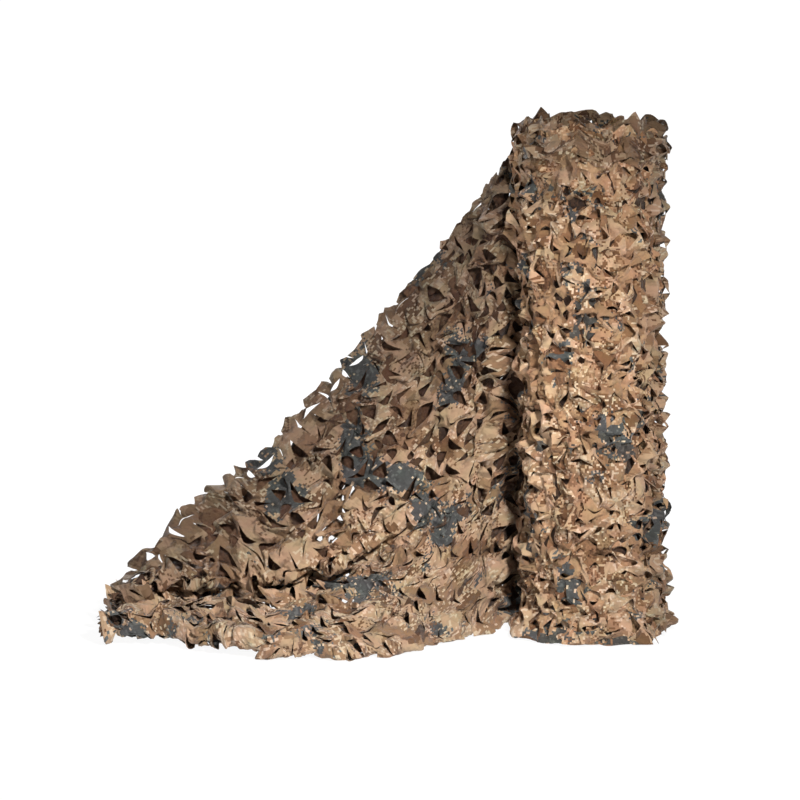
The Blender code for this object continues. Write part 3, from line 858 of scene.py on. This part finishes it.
def set_stage():
    """A pale sweep: floor, a quarter turn, and a wall behind."""
    bend, back, reach = 2.5, 12.0, 20.0
    angle = np.linspace(0, math.pi / 2, 13)
    y = np.concatenate([[-20.0], back + bend * np.sin(angle), [back + bend]])
    z = np.concatenate([[0.0], bend - bend * np.cos(angle), [14.0]])
    x = np.array([-reach, reach])
    points = np.stack([np.repeat(x, len(y)), np.tile(y, 2), np.tile(z, 2)], 1)
    faces = [(k, len(y) + k, len(y) + k + 1, k + 1) for k in range(len(y) - 1)]
    mesh = bpy.data.meshes.new("sweep")
    mesh.from_pydata(points.tolist(), [], faces)
    for face in mesh.polygons:
        face.use_smooth = True
    nodes = Nodes("pale_sweep")
    # The sweep glows a little less close to the net, so that its faint shadow shows.
    place = nodes.add("ShaderNodeTexCoord").outputs["Object"]
    away = nodes.vector("DISTANCE", place, (-0.6, -0.4, 0.0)).outputs["Value"]
    nodes.feed(nodes.shader, {
        "Base Color": (0.12, 0.12, 0.12, 1.0), "Roughness": 1.0, "Specular IOR Level": 0.0,
        "Emission Color": (1.0, 1.0, 1.0, 1.0),
        "Emission Strength": nodes.ramp(away, 1.0, 3.2, 0.92, 1.0)})
    mesh.materials.append(nodes.material)
    put_in_scene("sweep", mesh)

    bpy.context.scene.view_settings.view_transform = "Standard"
    world = bpy.data.worlds.new("studio")
    world.use_nodes = True
    glow = world.node_tree.nodes["Background"].inputs
    glow["Color"].default_value, glow["Strength"].default_value = (1.0, 0.9, 0.78, 1.0), 0.10
    bpy.context.scene.world = world
    soft_light("key", (1.0, -4.4, 3.3), (-0.88, -0.1, -0.18), 0.6, 28.0, (1.0, 0.975, 0.94), 43.0)
    soft_light("fill", (-4.2, -4.0, 2.4), (-0.5, 0.0, 0.5), 2.0, 42.0, (0.95, 0.97, 1.0))
    soft_light("back", (-2.0, 5.0, 3.5), (-0.5, 0.0, 0.6), 2.0, 110.0)


# ---------------------------------------------------------------- the net's pieces

def steady(value):
    """The same everywhere."""
    return lambda run, across: value + 0 * run


SPAN, DEEP = 3.25, 1.40    # reach of the loose end's leaf lattice, along and down
THIN_X, THIN_Z = -0.73, 0.30    # middle of a patch low on the hang where light comes through


def on_hang(run, depth):
    """Place along X and height of spots on the loose end."""
    x, _, z = np.moveaxis(hang(np.clip(run, 0.0, LOOSE_LENGTH), depth), -1, 0)
    return x, z


def hang_calm(start, down):
    """How much of the leaves' relief is left: the net lies smooth in front, low on the hang and
    over the folds below it, and fairly smooth all along the floor."""
    x, z = on_hang(*from_lattice(start * SPAN, down * DEEP))
    front = bell(clamp01(np.abs(x + 0.50) / 0.15 - 1) / 0.35) * (1 - ease((z - 0.26) / 0.22))
    lying = clamp01(-x / 0.2 - 1.5) * clamp01((x + 1.35) / 0.2) * (1 - ease((z - 0.06) / 0.07))
    return 1 - np.maximum(0.66 * front, 0.55 * lying)


def hang_opening(start, down):
    """Leaves gape most on the hang, less where the net lies in folds, least near the floor."""
    run, depth = from_lattice(start * SPAN, down * DEEP)
    _, z = on_hang(run, depth)
    gape = 0.06 + 0.22 * ease((z - 0.02) / 0.17) + 0.03 * ease((z - 0.75) / 0.3)
    gape = gape * clamp01(0.2 + run / 0.33)
    return gape * (1 - 1.05 * (1 - hang_calm(start, down)))


def behind_opening(start, down):
    """The reverse ply's leaves lap shut, but for the thin patch."""
    x, z = on_hang(*from_lattice(start * SPAN, down * DEEP))
    return -0.24 + 0.46 * bell((x - THIN_X) / 0.07) * bell((z - THIN_Z) / 0.12)


# How the leaves are cut and lie.  In leaf pitches: opening of a cut, bow of its lips, half its
# length, lean of its lips, jitter along, across and outward, crease of a leaf, teeth (height of
# the tips along the upper edge) and trim (how far its first row is cut back).  As shares: calm
# (relief that is left), gaps (cuts that gape), cover (overhang of the lips where a cut gapes and
# where it does not), same_way (cuts whose tongue is on the far side), roundness of the cut's
# outline, first_row (push of the second row's cuts).  In degrees: curl.  In metres: crumple and
# fold (heights of long creases and of small ones), facet (breadth of small ones) and full_teeth
# (run at which the tips are full).
USUAL_LOOK = {"calm": steady(1.0), "gaps": 0.5, "same_way": 0.5, "lean": 0.2,
              "half_length": (0.5, 0.7), "roundness": (1.0, 1.8), "crease": 0.2,
              "crumple": 0.006, "fold": 0.003, "facet": 0.020}
TIPPED_LOOK = USUAL_LOOK | {"teeth": 0.42, "full_teeth": 0.01, "trim": 0.2, "gaps": 0.54,
                            "cover": (-0.9, 1.5)}
INSIDE_LOOK = USUAL_LOOK | {"opening": steady(0.12), "full_teeth": 0.01, "trim": 0.0}
LEAF_LOOKS = {
    "hang": USUAL_LOOK | {
        "opening": hang_opening, "calm": hang_calm, "gaps": 0.52, "cover": (-1.1, 1.5),
        "same_way": 0.55, "bow": 0.34, "curl": 52.0, "lean": 0.24, "half_length": (0.56, 0.74),
        "roundness": (1.0, 2.0), "jitter": (0.11, 0.11, 0.32), "crease": 0.36, "crumple": 0.008,
        "fold": 0.0050, "facet": 0.017, "teeth": 0.36, "full_teeth": 0.30, "trim": 0.34,
        "first_row": 0.50},
    "behind": USUAL_LOOK | {
        "opening": behind_opening, "gaps": 1.0, "cover": (-1.0, 0.0), "bow": 0.30, "curl": 34.0,
        "lean": 0.1, "half_length": (0.45, 0.60), "jitter": (0.08, 0.08, 0.16), "crease": 0.25,
        "crumple": 0.004, "fold": 0.0035},
    "roll": TIPPED_LOOK | {
        "opening": steady(0.17), "bow": 0.42, "curl": 58.0, "lean": 0.30,
        "half_length": (0.58, 0.78), "roundness": (0.8, 1.6), "jitter": (0.16, 0.16, 0.40),
        "crease": 0.44, "fold": 0.0028},
    "root": TIPPED_LOOK | {
        "opening": steady(0.13), "bow": 0.36, "curl": 54.0, "lean": 0.28,
        "half_length": (0.56, 0.76), "roundness": (0.9, 1.8), "jitter": (0.14, 0.14, 0.36),
        "crease": 0.40, "fold": 0.0034},
    "inner": INSIDE_LOOK | {
        "cover": (-0.9, 0.8), "bow": 0.36, "curl": 42.0, "jitter": (0.14, 0.14, 0.24),
        "crumple": 0.004, "teeth": 0.40},
    "coil": INSIDE_LOOK | {
        "cover": (-0.9, 0.6), "bow": 0.34, "curl": 45.0, "jitter": (0.18, 0.18, 0.3),
        "crumple": 0.008, "teeth": 0.10},
}

REVERSE_DEPTH = 0.022      # the reverse ply behind the loose end's face
REAR_DEPTH = 0.042         # and the leaves of its far side
REAR_DRAWN_IN = 0.33       # share by which those come closer where the cloth turns back
CORE_DEPTH = 0.030         # the closed log of turns beneath the roll's wall


def build_loose_end(face, reverse):
    """The loose end's face, its reverse, the leaves of its far side, and those by the roll."""
    def on_cloth(start, down, cut_short=0.035):
        """Between the roll, the far end and the lower selvedge."""
        run, depth = from_lattice(start, down)
        return (run > -0.02) & (run < LOOSE_LENGTH - cut_short) & (depth < NET_WIDTH)

    def covered(start, down):
        """Clear of the upper edge, and of the thin patch."""
        run, depth = from_lattice(start, down)
        x, z = on_hang(run, depth)
        thin = ((x - THIN_X) / 0.07) ** 2 + ((z - THIN_Z) / 0.095) ** 2 < 1
        clear = depth > 0.050 * clamp01((run - 0.60) / 0.20)
        return on_cloth(start, down, 0.05) & clear & ~thin

    def seen_behind(start, down):
        """The hanging part and the fold turned back under it, clear of the upper edge."""
        run, depth = from_lattice(start, down)
        tuck = through_rows(np.clip(run, 0.0, LOOSE_LENGTH), RUN, TUCK)
        clear = 0.02 + 0.07 * clamp01(np.maximum((run - 0.55) / 0.25, (0.42 - run) / 0.1))
        down_to = hung_length(run) + np.maximum(tuck, 0.0) + 0.07
        return ((run > 0.24) & (run < LOOSE_LENGTH - 0.14) & (depth > clear)
                & (on_hang(run, depth)[1] > 0.03) & ((depth < down_to) | (run < 0.85)))

    def by_the_roll(start, down):
        """Down to the floor, and clear of the upper edge once that leaves the roll."""
        run = start - ROOT_LAP
        return (hang(np.maximum(run, 0.0), down)[..., 2] > 0.025) & (down > 0.9 * (run - 0.08))

    front = lay_net("loose_end_net", hung_net(0.0), SPAN, DEEP, 0.0480, 8,
                    LEAF_LOOKS["hang"], 21, face, keep=on_cloth)
    # The reverse ply lies nearly shut behind the face, in a dark cloth that paints the shade seen
    # through the face's gaps.
    back = lay_net("loose_end_reverse", hung_net(REVERSE_DEPTH), SPAN, DEEP, 0.0560, 6,
                   LEAF_LOOKS["behind"], 33, reverse, keep=covered, cloth_start=(0.4, 0.7))
    rear = lay_net("loose_end_rear", hung_net(REAR_DEPTH, REAR_DRAWN_IN), SPAN, DEEP, 0.0520, 6,
                   LEAF_LOOKS["hang"], 45, face, keep=seen_behind, cloth_start=(1.4, 0.45),
                   outward=-1.0)
    root = lay_net("loose_end_root", rooted(REAR_DEPTH), ROOT_LAP + 0.33, NET_WIDTH - 0.01,
                   0.0480, 6, LEAF_LOOKS["root"], 47, face, keep=by_the_roll,
                   cloth_start=(2.9, 0.2), outward=-1.0)
    return front, back, rear, root


def build_roll(face, inner):
    """The last turn and the one beneath it."""
    outer = lay_net("outer_turn", wound(0.006), GIRTH, NET_WIDTH, 0.0470, 9,
                    LEAF_LOOKS["roll"], 41, face, cloth_start=(3.1, 0.3), outward=-1.0)
    # The turn beneath wears a darker, warmer copy of the print: painted shade.
    second = lay_net("second_turn", wound(0.013, 0.014), GIRTH, NET_WIDTH - 0.02, 0.0430, 6,
                     LEAF_LOOKS["inner"], 57, inner, cloth_start=(5.2, 1.1), outward=-1.0)
    return outer, second


def build_core_turns(material):
    """The wound turns beneath, seen only through the leaves: one closed, slightly lumpy log."""
    around, up = 96, 60
    turned = np.linspace(0, 2 * math.pi, around, endpoint=False)
    height = np.linspace(0.03, NET_WIDTH - 0.085, up)
    t, h = np.meshgrid(turned, height, indexing="ij")
    radius = (wall_radius(t, h) - CORE_DEPTH + 0.002 * np.sin(9 * t + 31 * h)
              + 0.002 * np.sin(5 * t - 47 * h))
    # Rings close on the axis at both ends, one ring of the smallest radius each.
    tip = 0.0005 + 0 * radius[:, :1]
    radius = np.concatenate([tip, radius, tip], axis=1)
    t = np.concatenate([t[:, :1], t, t[:, :1]], axis=1)
    h = np.concatenate([h[:, :1], h, h[:, -1:]], axis=1)
    points = np.stack([radius * np.sin(t), radius * np.cos(t), h], -1).reshape(-1, 3)
    index = np.arange(around * (up + 2)).reshape(around, up + 2)
    after = np.roll(index, -1, axis=0)
    faces = np.stack([index[:, :-1], index[:, 1:], after[:, 1:], after[:, :-1]], -1).reshape(-1, 4)
    points = np.concatenate([points, [[0, 0, height[0]], [0, 0, height[-1]]]])
    ends = [np.stack([ring, next_ring, np.full(around, tip)], -1) for ring, next_ring, tip in (
        (index[:, 0], after[:, 0], len(points) - 2), (after[:, -1], index[:, -1], len(points) - 1))]
    halves = np.concatenate([faces[:, [0, 1, 2]], faces[:, [0, 2, 3]], *ends])
    spots = points[halves.reshape(-1)]
    cloth = np.stack([np.arctan2(spots[:, 0], spots[:, 1]) * ROLL_RADIUS, spots[:, 2]], 1)
    # Its cloth is the darkest copy of the print: painted shade deep in the roll.
    return net_object("wound_turns", points, halves, cloth, material)


def build_ends(face):
    """The spiral of turns on the roll's top and foot."""
    length = math.pi * (COIL_RADIUS * COIL_RADIUS) / TURN_PITCH * 0.97
    top = lay_net("turns_on_top", coiled(NET_WIDTH - 0.036, -1.0), length, 0.065, 0.052, 5,
                  LEAF_LOOKS["coil"], 71, face, cloth_start=(9.0, 0.0), floor=False)
    foot = lay_net("turns_at_foot", coiled(0.004, 1.0), length, 0.045, 0.045, 4,
                   LEAF_LOOKS["coil"], 73, face, cloth_start=(9.0, 2.0), outward=-1.0)
    return top, foot


def build():
    """Every piece, its cloth, the node it replaces and how it is held."""
    set_camera()
    set_stage()
    # Copies of one print: the roll's is painted lighter than the loose end's (painted light); the
    # inner turn's, the reverse's and the deep turns' are darker and warmer (painted shade).  The
    # upper edges and the roll's right flank are darkened as painted shade.
    face = printed_cloth("printed_face", 0.87, edge=(0.0, 0.42, 0.37), foot=(0.60, 0.92, 0.84))
    rolled = printed_cloth("printed_roll_painted_light", 1.18, edge=(0.3, 0.62, 0.53), foot=(1.1, 1.5, 0.77),
                           side=(3.44, 0.64), layout=(24.0, 9.0, 0.0), rarity=0.60)
    inner = printed_cloth("printed_inner_painted_shade", 0.88, cast=(1.06, 0.94, 0.83), foot=(1.9, 2.3, 0.84),
                          layout=(24.0, 9.0, 0.0), rarity=0.63)
    reverse = printed_cloth("cloth_reverse_painted_shade", 0.34, plain=True, cast=(1.08, 0.88, 0.68))
    deep = printed_cloth("deep_turns_painted_shade", 0.24, plain=True, cast=(1.10, 0.86, 0.62))

    front, back, rear, root = build_loose_end(face, reverse)
    outer, second = build_roll(rolled, inner)
    core = build_core_turns(deep)
    top, foot = build_ends(rolled)

    loose, wound_up = (front, back, rear, root), (outer, second, core, top, foot)
    for piece in loose + wound_up:
        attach(piece, "root")
    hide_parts("loose_end")
    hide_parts("net_roll")


build()
bpy.context.view_layer.update()
